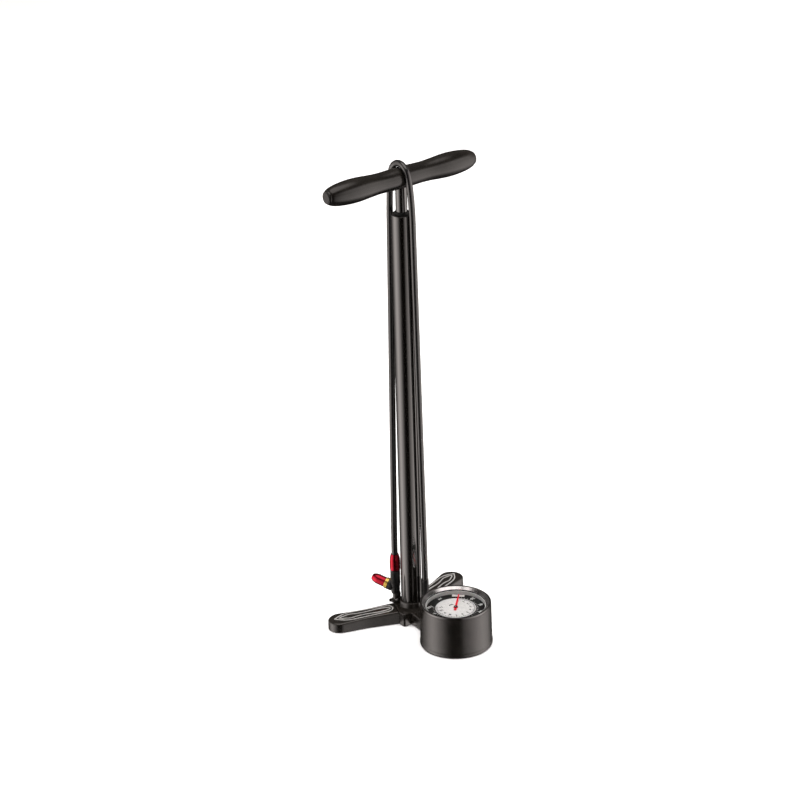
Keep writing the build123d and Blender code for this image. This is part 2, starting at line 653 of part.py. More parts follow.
def toothed_disc(x, radius, count, start=0.0):
    """Gear blank with blunt teeth, its centre on the gauge's cross axis."""
    pitch = 2 * pi * radius / count
    with BuildSketch(Plane.XY.offset(GEAR_Z)) as blank:
        with Locations((x, GAUGE_Y)):
            Circle(radius - TOOTH / 2)
            with PolarLocations(radius - TOOTH / 2, count, start_angle=start):
                Rectangle(TOOTH, pitch * 0.45)
    return blank.sketch


def turned(angle, length):
    return (length * cos(radians(angle)), length * sin(radians(angle)))


with BuildPart() as sector_gear:
    extrude(toothed_disc(PIVOT_X, SECTOR_R - 0.01, 64), amount=GEAR_THICK)
    with BuildSketch(heading(0, PIVOT_X, GAUGE_Y, GEAR_Z - 1)):
        Polygon((3, 2.2), turned(5, 30), turned(-39, 30), (1, -3), (-9, -1.8), (-9, 1.8),
                align=None)
    extrude(amount=4, mode=Mode.INTERSECT)
    with BuildSketch(Plane.XY.offset(PIN_FOOT_Z)):
        with Locations((PIVOT_X, GAUGE_Y)):
            Circle(PIN_R)
    extrude(amount=PLATE_HIGH_Z + PLATE_THICK + 0.8 - PIN_FOOT_Z)
hand_in(sector_gear, "sector_gear")

NEEDLE_Z = DIAL_Z + 2.4
NEEDLE_THICK = 0.5
with BuildPart() as needle_shaft:
    extrude(toothed_disc(0, PINION_R - 0.01, 8, 10), amount=GEAR_THICK)
    extrude(around_gauge(PIN_FOOT_Z, PIN_R), amount=NEEDLE_Z + 1.8 - PIN_FOOT_Z)
hand_in(needle_shaft, "needle_shaft")

with BuildPart() as gauge_needle:
    with BuildSketch(heading(ZERO_ANGLE, 0, GAUGE_Y, NEEDLE_Z)):
        Polygon((-9, 1.8), (8, 1.5), (36.5, 0.9), (36.5, -0.9), (8, -1.5), (-9, -1.8),
                align=None)
        Circle(3.2)
        Circle(PIN_R, mode=Mode.SUBTRACT)
    extrude(amount=NEEDLE_THICK)
hand_in(gauge_needle, "gauge_needle")

with BuildPart() as needle_boss:
    extrude(around_gauge(NEEDLE_Z + NEEDLE_THICK, 2.6, PIN_R), amount=1.3)
    fillet(needle_boss.faces().sort_by(Axis.Z)[-1].outer_wire().edges(), radius=0.5)
hand_in(needle_boss, "needle_boss")

# ---------------------------------------------------------------- check valve

VALVE_SEAT_Y = -10.0
VALVE_SEAT_BORE_R = 1.4
VALVE_PART_R = VALVE_BORE_R - RUN
BALL_R = 2.4
BALL_Y = VALVE_SEAT_Y - sqrt(BALL_R ** 2 - VALVE_SEAT_BORE_R ** 2) - 0.02
RETAINER = 8.5


def valve_disc(y, bore):
    """Washer that fits the valve chamber, at that place along it."""
    with BuildSketch(Plane.XZ.offset(-y)) as disc:
        with Locations((0, AIR_Z)):
            Circle(VALVE_PART_R)
            Circle(bore, mode=Mode.SUBTRACT)
    return disc.sketch


with BuildPart() as valve_seat:
    extrude(valve_disc(-8, VALVE_SEAT_BORE_R), amount=-8 - VALVE_SEAT_Y)
hand_in(valve_seat, "valve_seat")

with BuildPart() as valve_ball:
    with Locations((0, BALL_Y, AIR_Z)):
        Sphere(BALL_R)
hand_in(valve_ball, "valve_ball")

with BuildPart() as valve_retainer:
    extrude(valve_disc(-ARM_FLAT + RETAINER, 2.3), amount=RETAINER)
    air_way(Plane.YZ, 5, (STUB_Y, AIR_Z), radius=1.5)
hand_in(valve_retainer, "valve_retainer")

# ---------------------------------------------------------------- hose stub and ferrule


def boss(x, y, radius, low, high):
    """Round boss or pin that stands at a place, from one height to another."""
    with BuildSketch(Plane.XY.offset(low)) as disc:
        with Locations((x, y)):
            Circle(radius)
    extrude(disc.sketch, amount=high - low)


def knurl(x, y, radius, low, high, count, depth):
    """Cut grooves along a knurled ring's side."""
    with BuildSketch(Plane.XY.offset(low)) as grooves:
        with Locations((x, y)):
            with PolarLocations(radius, count):
                Rectangle(2 * depth, pi * radius / count, rotation=45)
    extrude(grooves.sketch, amount=high - low, mode=Mode.SUBTRACT)


with BuildPart() as hose_stub:
    boss(STUB_X, STUB_Y, SPIGOT_R, SPIGOT_Z, HUB_TOP_Z)
    boss(STUB_X, STUB_Y, 3.4, HUB_TOP_Z, FERRULE_Z)
    with BuildSketch(Plane.XY.offset(SOCKET_TOP_Z + 1)):
        with Locations((STUB_X, STUB_Y)):
            RegularPolygon(radius=5.0, side_count=6)
    extrude(amount=8)
    air_way(Plane.XY.offset(SPIGOT_Z), 40, (STUB_X, STUB_Y), radius=1.5)
hand_in(hose_stub, "hose_stub")

HOSE_SEAT = 4.0
HOSE_SEAT_R = HOSE_R + 0.1
with BuildPart() as hose_ferrule:
    boss(STUB_X, STUB_Y, FERRULE_R, FERRULE_Z, FERRULE_TOP_Z)
    chamfer(rim(hose_ferrule, FERRULE_TOP_Z, FERRULE_R), length=0.4)
    knurl(STUB_X, STUB_Y, FERRULE_R + 0.1, FERRULE_Z + 3, FERRULE_TOP_Z - HOSE_SEAT, 18, 0.35)
    air_way(Plane.XY.offset(FERRULE_TOP_Z - HOSE_SEAT), HOSE_SEAT, (STUB_X, STUB_Y),
            radius=HOSE_SEAT_R)
    air_way(Plane.XY.offset(FERRULE_Z), 30, (STUB_X, STUB_Y), radius=1.5)
hand_in(hose_ferrule, "hose_ferrule")

# ---------------------------------------------------------------- chuck on the hose's end

PIN_TOP = 4.0           # of the dock's pin above the chuck's foot
SCREW_PLACE = looking(-126.9, DOCK_X, DOCK_Y, HUB_TOP_Z + 4.4)
with BuildPart() as chuck_dock:
    with BuildSketch(Plane.XY.offset(HUB_TOP_Z)):
        with Locations((CHUCK_X, CHUCK_Y)):
            Circle(7.0)
        with Locations(Location((CHUCK_X, CHUCK_Y, 0), (0, 0, 143.4))):
            Polygon((0, 5.5), (9.2, 2), (9.2, -2), (0, -5.5), align=None)
    extrude(amount=2.5)
    boss(DOCK_X, DOCK_Y, DOCK_R, HUB_TOP_Z, CHUCK_Z)
    revolve(socket_section(RUN), axis=Axis.Z, mode=Mode.SUBTRACT)
    boss(CHUCK_X, CHUCK_Y, SPIGOT_R, SPIGOT_Z, HUB_TOP_Z)
    boss(CHUCK_X, CHUCK_Y, 2.6, CHUCK_Z - 2, CHUCK_Z + PIN_TOP)
    air_way(SCREW_PLACE, 10, (0, 0), radius=1.1)
hand_in(chuck_dock, "chuck_dock")

with BuildPart() as dock_screw:
    with BuildSketch(SCREW_PLACE.offset(0.2)):
        Circle(1.05)
    extrude(amount=DOCK_R)
    with BuildSketch(SCREW_PLACE.offset(DOCK_R + RUN)):
        Circle(1.7)
    extrude(amount=1.5)
    fillet(dock_screw.faces().sort_by(Axis((0, 0, 0), (-0.6, -0.8, 0)))[-1].edges(), radius=0.9)
hand_in(dock_screw, "dock_screw")

# nozzle pieces are drawn lying on the nozzle's own axis: along it, then out from it
NOZZLE_LEVEL = cos(radians(NOZZLE_RISE))
NOZZLE_DIR = (cos(radians(NOZZLE_TURN)) * NOZZLE_LEVEL, sin(radians(NOZZLE_TURN)) * NOZZLE_LEVEL,
              sin(radians(NOZZLE_RISE)))
NOZZLE_ROOT = (CHUCK_X, CHUCK_Y, NOZZLE_Z)
NOZZLE_AXIS = Axis(NOZZLE_ROOT, NOZZLE_DIR)
NOZZLE_SIDE = Plane(origin=NOZZLE_ROOT, x_dir=NOZZLE_DIR,
                    z_dir=(sin(radians(NOZZLE_TURN)), -cos(radians(NOZZLE_TURN)), 0))
SPINDLE_R = 3.2
NECK_R = 4.6
NECK_END = 21.5
ELBOW_END = 10.2
ELBOW_R = 7.8
BODY_TOP_Z = COLLAR_Z - 0.2
with BuildPart() as chuck_body:
    boss(CHUCK_X, CHUCK_Y, CHUCK_R, CHUCK_Z, BODY_TOP_Z)
    fillet(chuck_body.edges().filter_by(GeomType.CIRCLE), radius=1.0)
    boss(CHUCK_X, CHUCK_Y, CHUCK_R + 0.5, BODY_TOP_Z - 2.6, BODY_TOP_Z - 1.2)
    with BuildSketch(NOZZLE_SIDE):
        with BuildLine():
            Line((0, 0), (0, 5.0))
            ThreePointArc((0, 5.0), (3.4, 7.1), (7.5, ELBOW_R))
            Polyline((7.5, ELBOW_R), (ELBOW_END - 0.5, ELBOW_R), (ELBOW_END, ELBOW_R - 0.5),
                     (ELBOW_END, NECK_R), (NECK_END, NECK_R), (NECK_END, 0), (0, 0))
        make_face()
    revolve(axis=NOZZLE_AXIS)
    # room for the collar, then the spindle it turns on
    air_way(Plane.XY.offset(BODY_TOP_Z), 12, (CHUCK_X, CHUCK_Y), radius=COLLAR_R + GAP)
    boss(CHUCK_X, CHUCK_Y, SPINDLE_R, BODY_TOP_Z - 1, SLEEVE_Z + 5)
    air_way(Plane.XY.offset(CHUCK_Z), PIN_TOP + 0.5, (CHUCK_X, CHUCK_Y), radius=2.7)
    air_way(Plane.XY.offset(CHUCK_Z + 6), 60, (CHUCK_X, CHUCK_Y), radius=1.3)
    with BuildSketch(NOZZLE_SIDE):
        Rectangle(40, 1.3, align=(Align.MIN, Align.MIN))
    revolve(axis=NOZZLE_AXIS, mode=Mode.SUBTRACT)
hand_in(chuck_body, "chuck_body")

with BuildPart() as chuck_collar:
    boss(CHUCK_X, CHUCK_Y, COLLAR_R, COLLAR_Z, SLEEVE_Z - 0.2)
    chamfer(chuck_collar.edges().filter_by(GeomType.CIRCLE), length=0.7)
    knurl(CHUCK_X, CHUCK_Y, COLLAR_R + 0.1, COLLAR_Z + 1.8, SLEEVE_Z - 1.8, 28, 0.3)
    air_way(Plane.XY.offset(COLLAR_Z), 30, (CHUCK_X, CHUCK_Y), radius=SPINDLE_R + RUN)
hand_in(chuck_collar, "chuck_collar")

SLEEVE_FOOT = 5.1       # length of the spindle's seat in the sleeve
SLEEVE_SHOULDER = 12.0
SLEEVE_NECK_R = 5.3
with BuildPart() as chuck_sleeve:
    with BuildSketch(side_view(CHUCK_X, CHUCK_Y)):
        with BuildLine():
            Polyline((SPINDLE_R + RUN, SLEEVE_Z), (SLEEVE_R - 0.5, SLEEVE_Z),
                     (SLEEVE_R, SLEEVE_Z + 0.5), (SLEEVE_R, SLEEVE_Z + SLEEVE_SHOULDER))
            ThreePointArc((SLEEVE_R, SLEEVE_Z + SLEEVE_SHOULDER),
                          (SLEEVE_R - 0.6, SLEEVE_Z + 18.3), (SLEEVE_NECK_R, SLEEVE_TOP_Z))
            Polyline((SLEEVE_NECK_R, SLEEVE_TOP_Z), (HOSE_SEAT_R, SLEEVE_TOP_Z),
                     (HOSE_SEAT_R, SLEEVE_TOP_Z - HOSE_SEAT), (1.6, SLEEVE_TOP_Z - HOSE_SEAT),
                     (1.6, SLEEVE_Z + SLEEVE_FOOT), (SPINDLE_R + RUN, SLEEVE_Z + SLEEVE_FOOT),
                     (SPINDLE_R + RUN, SLEEVE_Z))
        make_face()
    revolve(axis=Axis((CHUCK_X, CHUCK_Y, 0), (0, 0, 1)))
hand_in(chuck_sleeve, "chuck_sleeve")

RING_START = ELBOW_END + RUN
RING_END = 15.5
RING_R = 7.9
with BuildPart() as nozzle_ring:
    with BuildSketch(NOZZLE_SIDE):
        Polygon((RING_START, NECK_R + RUN), (RING_START, RING_R - 0.3), (RING_START + 0.3, RING_R),
                (12.4, RING_R), (12.7, RING_R - 0.5), (13.0, RING_R), (RING_END - 0.6, RING_R),
                (RING_END, RING_R - 0.8), (RING_END, NECK_R + RUN), align=None)
    revolve(axis=NOZZLE_AXIS)
hand_in(nozzle_ring, "nozzle_ring")

CAP_START = 15.6
CAP_TIP = 36.3
CAP_R = 7.0
SEAL_PLACE = 22.0
MOUTH_R = 4.1
MOUTH_LENGTH = 8.0
MOUTH_END = CAP_TIP - MOUTH_LENGTH
with BuildPart() as chuck_cap:
    with BuildSketch(NOZZLE_SIDE):
        with BuildLine():
            Polyline((CAP_START, NECK_R + RUN), (CAP_START, CAP_R - 0.4),
                     (CAP_START + 0.5, CAP_R), (25.5, CAP_R))
            ThreePointArc((25.5, CAP_R), (32.5, 6.2), (CAP_TIP, 4.6))
            Polyline((CAP_TIP, 4.6), (CAP_TIP, MOUTH_R), (MOUTH_END, MOUTH_R),
                     (MOUTH_END, 5.2), (SEAL_PLACE, 5.2), (SEAL_PLACE, NECK_R + RUN),
                     (CAP_START, NECK_R + RUN))
        make_face()
    revolve(axis=NOZZLE_AXIS)
hand_in(chuck_cap, "chuck_cap")

with BuildPart() as chuck_seal:
    with BuildSketch(NOZZLE_SIDE):
        with Locations((SEAL_PLACE + 0.2, 2.6)):
            Rectangle(6.0, 2.3, align=(Align.MIN, Align.MIN))
    revolve(axis=NOZZLE_AXIS)
hand_in(chuck_seal, "chuck_seal")

# ---------------------------------------------------------------- hose

ARCH_R = 19.2           # of the hose's centreline over the handle
CORNER = ARCH_R / cos(radians(22.5))
SPLIT_Z = 590.0         # where the stretch carried by the handle begins


def over(turn, x):
    """Corner of the route over the handle, at a turn from +Y about the handle's axis."""
    return (x, CORNER * cos(radians(turn)), HANDLE_Z + CORNER * sin(radians(turn)))


def between(a, b, z):
    """Point at that height on the line through two others."""
    part = (z - a[2]) / (b[2] - a[2])
    return tuple(p + (q - p) * part for p, q in zip(a, b))


HOSE_START = (STUB_X, STUB_Y, FERRULE_TOP_Z - HOSE_SEAT)
FRONT_FOOT = (STUB_X, STUB_Y, FERRULE_TOP_Z + 24)
FRONT_BEND = (2.3, -ARCH_R, 600.0)
ARCH = [over(157.5, -2.2), over(112.5, -1.6), over(67.5, -0.6), over(22.5, -1.6)]
REAR_BEND = (-4.5, ARCH_R, 602.0)
REAR_FOOT = (CHUCK_X, CHUCK_Y, SLEEVE_TOP_Z + 24.5)
HOSE_END = (CHUCK_X, CHUCK_Y, SLEEVE_TOP_Z - HOSE_SEAT)
FRONT_SPLIT = between(FRONT_FOOT, FRONT_BEND, SPLIT_Z)
REAR_SPLIT = between(REAR_FOOT, REAR_BEND, SPLIT_Z)


def corner_radius(a, b, c):
    """0.45 of the shorter run over the tangent of half the turn."""
    first, second = Vector(*b) - Vector(*a), Vector(*c) - Vector(*b)
    half_turn = radians(first.get_angle(second)) / 2
    return 0.45 * min(first.length, second.length) / tan(half_turn)


def hose_piece(route, name):
    radii = [corner_radius(*route[i:i + 3]) for i in range(len(route) - 2)]
    with BuildPart() as tube:
        with BuildLine() as path:
            FilletPolyline(*route, radius=radii)
        start = Vector(*route[1]) - Vector(*route[0])
        with BuildSketch(Plane(origin=route[0], z_dir=start)):
            Circle(HOSE_R)
        sweep(path=path.wires()[0])
    length = path.wires()[0].length
    print(name, "length", round(length, 1), "radii", [round(r, 1) for r in radii],
          "volume check", round(tube.part.volume / (pi * HOSE_R ** 2 * length), 4))
    hand_in(tube, name)
    return length


lengths = [hose_piece([HOSE_START, FRONT_FOOT, FRONT_SPLIT], "hose_front_run"),
           hose_piece([FRONT_SPLIT, FRONT_BEND, *ARCH, REAR_BEND, REAR_SPLIT], "hose_loop"),
           hose_piece([REAR_SPLIT, REAR_FOOT, HOSE_END], "hose_rear_run")]
print("hose length", round(sum(lengths), 1))
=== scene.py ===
import json
from math import cos, pi, radians, sin

import bpy
from mathutils import Matrix, Vector


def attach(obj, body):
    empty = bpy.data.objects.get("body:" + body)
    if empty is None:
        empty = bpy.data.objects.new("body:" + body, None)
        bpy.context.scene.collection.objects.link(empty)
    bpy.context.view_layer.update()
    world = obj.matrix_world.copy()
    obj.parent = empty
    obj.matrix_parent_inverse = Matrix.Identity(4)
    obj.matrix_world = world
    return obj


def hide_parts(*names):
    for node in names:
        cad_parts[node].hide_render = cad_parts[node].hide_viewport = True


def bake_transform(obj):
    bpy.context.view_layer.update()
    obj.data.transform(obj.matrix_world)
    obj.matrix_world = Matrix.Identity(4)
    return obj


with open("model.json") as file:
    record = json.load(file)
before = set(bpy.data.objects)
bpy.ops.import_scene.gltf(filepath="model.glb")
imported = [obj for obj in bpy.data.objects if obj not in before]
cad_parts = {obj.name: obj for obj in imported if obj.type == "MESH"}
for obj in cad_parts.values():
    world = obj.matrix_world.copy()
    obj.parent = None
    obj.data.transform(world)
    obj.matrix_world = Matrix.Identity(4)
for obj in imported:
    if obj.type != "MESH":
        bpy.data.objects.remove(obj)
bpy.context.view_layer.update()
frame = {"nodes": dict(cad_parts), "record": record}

MM = 0.001

# ---------------------------------------------------------------- camera

CAMERA_TURN = radians(36.94)      # from the gauge's side towards the left leg
CAMERA_RISE = radians(23.87)
CAMERA_ROLL = radians(1.54)
CAMERA_DISTANCE = 3.680
CAMERA_LENS = 124.7
AIM = (-0.0086, 0.324)            # across the view, and above the floor

to_camera = Vector((-sin(CAMERA_TURN) * cos(CAMERA_RISE), -cos(CAMERA_TURN) * cos(CAMERA_RISE),
                    sin(CAMERA_RISE)))
screen_right = Vector((cos(CAMERA_TURN), -sin(CAMERA_TURN), 0))
screen_up = to_camera.cross(screen_right)


def make_camera():
    data = bpy.data.cameras.new("camera")
    data.sensor_width = 36
    data.lens = CAMERA_LENS
    data.clip_end = 100
    camera = bpy.data.objects.new("camera", data)
    bpy.context.collection.objects.link(camera)
    right = screen_right * cos(CAMERA_ROLL) - screen_up * sin(CAMERA_ROLL)
    up = screen_up * cos(CAMERA_ROLL) + screen_right * sin(CAMERA_ROLL)
    place = screen_right * AIM[0] + Vector((0, 0, AIM[1])) + to_camera * CAMERA_DISTANCE
    camera.matrix_world = Matrix((
        (right.x, up.x, to_camera.x, place.x),
        (right.y, up.y, to_camera.y, place.y),
        (right.z, up.z, to_camera.z, place.z),
        (0, 0, 0, 1)))
    bpy.context.scene.camera = camera


make_camera()

# ---------------------------------------------------------------- materials


class Surface:
    """One Principled material with its procedural colour, roughness and relief."""

    def __init__(self, name, **sockets):
        self.material = bpy.data.materials.new(name)
        self.material.use_nodes = True
        self.nodes = self.material.node_tree.nodes
        self.links = self.material.node_tree.links
        self.shader = self.nodes["Principled BSDF"]
        for socket, value in sockets.items():
            self.shader.inputs[socket.replace("_", " ")].default_value = value
        self.place = self.nodes.new("ShaderNodeTexCoord").outputs["Object"]

    def stretched(self, scale):
        mapping = self.nodes.new("ShaderNodeMapping")
        mapping.inputs["Scale"].default_value = scale
        self.links.new(self.place, mapping.inputs["Vector"])
        return mapping.outputs["Vector"]

    def noise(self, scale, detail=3.0, rough=0.55, stretch=None):
        node = self.nodes.new("ShaderNodeTexNoise")
        node.inputs["Scale"].default_value = scale
        node.inputs["Detail"].default_value = detail
        node.inputs["Roughness"].default_value = rough
        source = self.stretched(stretch) if stretch else self.place
        self.links.new(source, node.inputs["Vector"])
        return node.outputs["Fac"]

    def ramp(self, factor, stops):
        node = self.nodes.new("ShaderNodeValToRGB")
        while len(node.color_ramp.elements) < len(stops):
            node.color_ramp.elements.new(0.5)
        for element, (position, colour) in zip(node.color_ramp.elements, stops):
            element.position = position
            element.color = (*colour, 1.0)
        self.links.new(factor, node.inputs["Fac"])
        return node.outputs["Color"]

    def colour(self, factor, stops):
        self.links.new(self.ramp(factor, stops), self.shader.inputs["Base Color"])
        return self

    def roughness(self, factor, low, high, start=0.3, end=0.7):
        node = self.nodes.new("ShaderNodeMapRange")
        node.inputs["From Min"].default_value = start
        node.inputs["From Max"].default_value = end
        node.inputs["To Min"].default_value = low
        node.inputs["To Max"].default_value = high
        self.links.new(factor, node.inputs["Value"])
        self.links.new(node.outputs["Result"], self.shader.inputs["Roughness"])
        return self

    def relief(self, height, distance, strength=0.5):
        node = self.nodes.new("ShaderNodeBump")
        node.inputs["Distance"].default_value = distance
        node.inputs["Strength"].default_value = strength
        self.links.new(height, node.inputs["Height"])
        self.links.new(node.outputs["Normal"], self.shader.inputs["Normal"])
        return self


def shade(value, warmth=0.0):
    return (value * (1 + warmth), value, value * (1 - warmth))


def gloss_lacquer():
    s = Surface("gloss_lacquer", IOR=2.2)
    s.colour(s.noise(35), [(0.35, shade(0.0025, 0.2)), (0.65, shade(0.004, 0.2))])
    s.roughness(s.noise(180, 4), 0.07, 0.12)
    s.relief(s.noise(900, 2), 0.00001, 0.2)
    return s.material


def cast_black():
    s = Surface("cast_black", IOR=1.75)
    s.colour(s.noise(70, 4), [(0.35, shade(0.005, 0.2)), (0.65, shade(0.010, 0.2))])
    s.roughness(s.noise(260, 5), 0.16, 0.26)
    s.relief(s.noise(1100, 4), 0.00004, 0.4)
    return s.material


def satin_black():
    s = Surface("satin_black", IOR=1.56)
    s.colour(s.noise(60, 4), [(0.35, shade(0.003, 0.2)), (0.65, shade(0.006, 0.2))])
    s.roughness(s.noise(220, 5), 0.17, 0.25)
    s.relief(s.noise(1600, 3), 0.00002, 0.3)
    return s.material


def hose_rubber():
    s = Surface("hose_rubber", IOR=1.9)
    s.colour(s.noise(80, 3), [(0.35, shade(0.003)), (0.65, shade(0.005))])
    s.roughness(s.noise(300, 4), 0.16, 0.24)
    s.relief(s.noise(1200, 2), 0.00002, 0.25)
    return s.material


def matt_rubber():
    s = Surface("matt_rubber", IOR=1.45)
    s.colour(s.noise(120, 4), [(0.35, shade(0.005)), (0.65, shade(0.010))])
    s.roughness(s.noise(400, 4), 0.6, 0.8)
    s.relief(s.noise(2500, 3), 0.00005, 0.5)
    return s.material


def anodised(name, dark, light, low, high, metallic=1.0):
    s = Surface(name, Metallic=metallic, Coat_Weight=0.3, Coat_Roughness=0.15)
    s.colour(s.noise(90, 3), [(0.35, dark), (0.65, light)])
    s.roughness(s.noise(500, 4, stretch=(1, 1, 8)), low, high)
    s.relief(s.noise(1500, 3, stretch=(1, 1, 10)), 0.00002, 0.4)
    return s.material


def metal(name, dark, light, low, high):
    s = Surface(name, Metallic=1.0)
    s.colour(s.noise(150, 4), [(0.35, dark), (0.65, light)])
    s.roughness(s.noise(700, 5), low, high)
    s.relief(s.noise(1800, 3), 0.00002, 0.4)
    return s.material


def printed(name, low, high, rough=0.5):
    s = Surface(name, IOR=1.18)
    s.colour(s.noise(250, 4), [(0.35, low), (0.65, high)])
    s.roughness(s.noise(600, 3), rough, rough + 0.1)
    s.relief(s.noise(2500, 2), 0.00001, 0.3)
    return s.material


def clear_lens():
    s = Surface("clear_lens", Transmission_Weight=1.0, IOR=1.15)
    s.colour(s.noise(60), [(0.3, (0.97, 0.98, 0.98)), (0.7, (1.0, 1.0, 1.0))])
    s.roughness(s.noise(200, 3), 0.0, 0.02)
    return s.material


LACQUER = gloss_lacquer()
CAST = cast_black()
SATIN = satin_black()
HOSE = hose_rubber()
RUBBER = matt_rubber()
BLACK_ANODISED = anodised("black_anodised", shade(0.006), shade(0.012), 0.24, 0.36, 0.2)
RED_ANODISED = anodised("red_anodised", (0.42, 0.006, 0.022), (0.52, 0.010, 0.034), 0.2, 0.3)
BRASS = metal("brass", (0.78, 0.56, 0.13), (0.88, 0.68, 0.22), 0.2, 0.32)
STEEL = metal("steel", (0.50, 0.50, 0.51), (0.62, 0.62, 0.63), 0.22, 0.34)
TRIM = metal("bright_trim", (0.60, 0.60, 0.61), (0.70, 0.70, 0.71), 0.12, 0.20)
DIAL_BLACK = printed("dial_black", shade(0.003), shade(0.006))
# White of the dial's print and face; on the bezel's inner ring the same white is a painted
# reflection of the light that wall reflects.
DIAL_WHITE_AND_RING_PAINTED_REFLECTION = printed("dial_white", shade(0.43, 0.02), shade(0.49, 0.02))
# Light grey on the leg ribs is a painted reflection: it stands in for the light caught along their
# black ridges, and it is a grey print, not metal.
RIB_PAINTED_REFLECTION = printed("rib_metal", shade(0.24, 0.03), shade(0.36, 0.03), 0.3)
DIAL_INK = printed("dial_ink", shade(0.004), shade(0.008))
NEEDLE_RED = printed("needle_red", (0.48, 0.004, 0.012), (0.60, 0.008, 0.020), 0.3)
LENS = clear_lens()

FINISHES = {
    # the leg ribs get the grey painted reflection
    "gloss_black": LACQUER, "cast_black": CAST, "leg_rib_metal": RIB_PAINTED_REFLECTION,
    "bezel_gloss": LACQUER,
    "trim_metal": TRIM,
    "handle_satin": SATIN, "black_rubber": RUBBER, "hose_rubber": HOSE,
    "bush_plastic": RUBBER, "black_anodised": BLACK_ANODISED, "red_anodised": RED_ANODISED,
    # dial_white also covers the bezel's inner ring, whose white is a painted reflection
    "brass": BRASS, "steel": STEEL, "dial_black": DIAL_BLACK, "dial_white": DIAL_WHITE_AND_RING_PAINTED_REFLECTION,
    "needle_red": NEEDLE_RED, "needle_black": RUBBER, "lens_clear": LENS,
}


def paint(thing, material):
    thing.data.materials.clear()
    thing.data.materials.append(material)


for row in frame["record"]["subparts"]:
    paint(frame["nodes"][row["node"]], FINISHES[row["material_slot"]])

# ---------------------------------------------------------------- mesh helpers


def add_mesh(name, points, faces, material, slot, body=None, crease=35):
    data = bpy.data.meshes.new(name)
    data.from_pydata(points, [], faces)
    data.validate()
    data.shade_smooth()
    data.set_sharp_from_angle(angle=radians(crease))
    thing = bpy.data.objects.new(name, data)
    bpy.context.collection.objects.link(thing)
    paint(thing, material)
    if body:
        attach(thing, body)
    return thing


# ---------------------------------------------------------------- hose

HOSE_R = 4.3 * MM
HANDLE_Z = 635.9
ARCH_R = 19.2
CORNER = ARCH_R / cos(radians(22.5))
CLEAR_OF_BEND = 52.0              # six hose diameters


def over(turn, x):
    """Corner of the route over the handle, at a turn from +Y about the handle's axis."""
    return (x, CORNER * cos(radians(turn)), HANDLE_Z + CORNER * sin(radians(turn)))


def between(a, b, z):
    """Point at that height on the line through two others."""
    part = (z - a[2]) / (b[2] - a[2])
    return tuple(p + (q - p) * part for p, q in zip(a, b))


def straight_run(foot, bend):
    """Two more points on the long straight stretch, clear of its ends."""
    return [between(foot, bend, foot[2] + CLEAR_OF_BEND),
            between(foot, bend, bend[2] - CLEAR_OF_BEND)]


HOSE_START, FRONT_FOOT, FRONT_BEND = (9.4, -19.0, 57.0), (9.4, -19.0, 85.0), (2.3, -ARCH_R, 600.0)
REAR_BEND, REAR_FOOT, HOSE_END = (-4.5, ARCH_R, 602.0), (-12.5, 19.2, 116.0), (-12.5, 19.2, 87.5)
ARCH = [over(157.5, -2.2), over(112.5, -1.6), over(67.5, -0.6), over(22.5, -1.6)]
ROUTE = [HOSE_START, FRONT_FOOT, *straight_run(FRONT_FOOT, FRONT_BEND), FRONT_BEND, *ARCH,
         REAR_BEND, *reversed(straight_run(REAR_FOOT, REAR_BEND)), REAR_FOOT, HOSE_END]
HOSE_STEP = 4 * MM
HOSE_SIDES = 24
ROUNDING = 1e-9


def spline_points(route):
    """Points along the one smooth line that has the route as its control points."""
    curve = bpy.data.curves.new("hose_line", "CURVE")
    curve.dimensions = "3D"
    curve.resolution_u = 24
    spline = curve.splines.new("NURBS")
    spline.points.add(len(route) - 1)
    for point, place in zip(spline.points, route):
        point.co = (*(c * MM for c in place), 1.0)
    spline.order_u = 3
    spline.use_endpoint_u = True
    line = bpy.data.objects.new("hose_line", curve)
    bpy.context.collection.objects.link(line)
    mesh = bpy.data.meshes.new_from_object(line)
    points = [v.co.copy() for v in mesh.vertices]
    bpy.data.objects.remove(line)
    bpy.data.meshes.remove(mesh)
    return points


def even_steps(points, step):
    """The same line with its points a step apart."""
    total = sum((b - a).length for a, b in zip(points, points[1:]))
    count = round(total / step)
    walked, target, result = 0.0, 0.0, []
    for a, b in zip(points, points[1:]):
        run = (b - a).length
        while target <= walked + run + ROUNDING and len(result) <= count:
            result.append(a.lerp(b, (target - walked) / run))
            target += total / count
        walked += run
    return result


def tube(points, radius, sides):
    """Rings along a line, with frames carried from one ring to the next."""
    verts, faces = [], []
    across = Vector((1, 0, 0))
    for i, point in enumerate(points):
        ahead = (points[min(i + 1, len(points) - 1)] - points[max(i - 1, 0)]).normalized()
        across = (across - ahead * across.dot(ahead)).normalized()
        other = ahead.cross(across)
        for k in range(sides):
            turn = 2 * pi * k / sides
            verts.append(point + across * (radius * cos(turn)) + other * (radius * sin(turn)))
    for i in range(len(points) - 1):
        for k in range(sides):
            a, b = i * sides + k, i * sides + (k + 1) % sides
            faces.append((a, b, b + sides, a + sides))
    faces.append(tuple(range(sides - 1, -1, -1)))
    faces.append(tuple(range(len(verts) - sides, len(verts))))
    return verts, faces


hose_line = even_steps(spline_points(ROUTE), HOSE_STEP)
hose = add_mesh("hose", *tube(hose_line, HOSE_R, HOSE_SIDES), HOSE, "hose_rubber")
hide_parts("hose_front_run", "hose_loop", "hose_rear_run")
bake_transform(hose)

# ---------------------------------------------------------------- print on the dial

